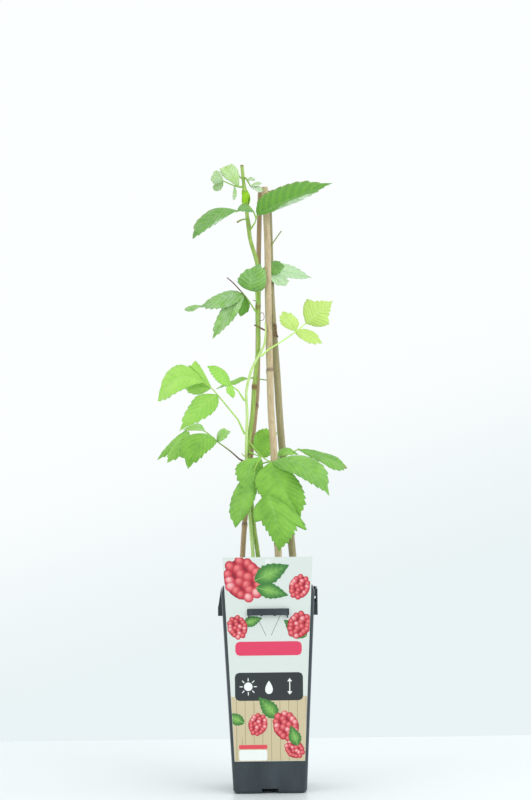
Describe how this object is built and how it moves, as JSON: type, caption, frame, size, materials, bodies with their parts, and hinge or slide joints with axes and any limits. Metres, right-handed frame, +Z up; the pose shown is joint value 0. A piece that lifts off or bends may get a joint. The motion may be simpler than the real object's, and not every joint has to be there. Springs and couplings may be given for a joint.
{
  "type": "potted raspberry plant",
  "caption": "Young raspberry plant with serrated leaves, tied to a narrow teepee of bamboo canes in a tall square plastic pot with a care card clipped on its front.",
  "frame": {"origin": "centre of the round foot pad under the pot, level with what the pot stands on", "axes": "+Z up along the pot's axis and the canes; the care card is on the -Y side; +X to the right of someone who reads the card"},
  "size_m": [0.2349, 0.1266, 0.7666],
  "materials": {
    "pot": "dark slate, satin moulded polypropylene",
    "compost": "moist crumbly peat and bark",
    "card": "printed thin plastic sheet",
    "bamboo": "bare weathered bamboo",
    "wire": "brown coated wire",
    "stem": "green bark with fine bristles",
    "stem_side": "soft pale green shoot with fine bristles",
    "leaf": "mature leaf, matt with sunken veins, pale underneath",
    "leaf_light": "younger leaf, lighter green",
    "leaf_young": "unfolding leaf, pale downy green"
  },
  "bodies": {
    "root": {"pot": "pot", "soil": "compost", "label": "card", "cane_left": "bamboo", "cane_front": "bamboo", "cane_right": "bamboo", "stem_main": "stem", "stem_side": "stem_side", "tie": "wire", "leaf_young_left": "leaf_young", "leaf_young_right": "leaf_young", "leaf_top": "leaf", "leaf_upper_front": "leaf", "leaf_upper_back": "leaf", "leaf_upper_left": "leaf", "leaf_light_right": "leaf_light", "leaf_mid_left": "leaf_light", "leaf_mid_fold": "leaf_light", "leaf_edge_on": "leaf", "leaf_low_left": "leaf", "leaf_round_back": "leaf", "leaf_low_front_left": "leaf", "leaf_low_front": "leaf", "leaf_right": "leaf"}
  },
  "joints": []
}
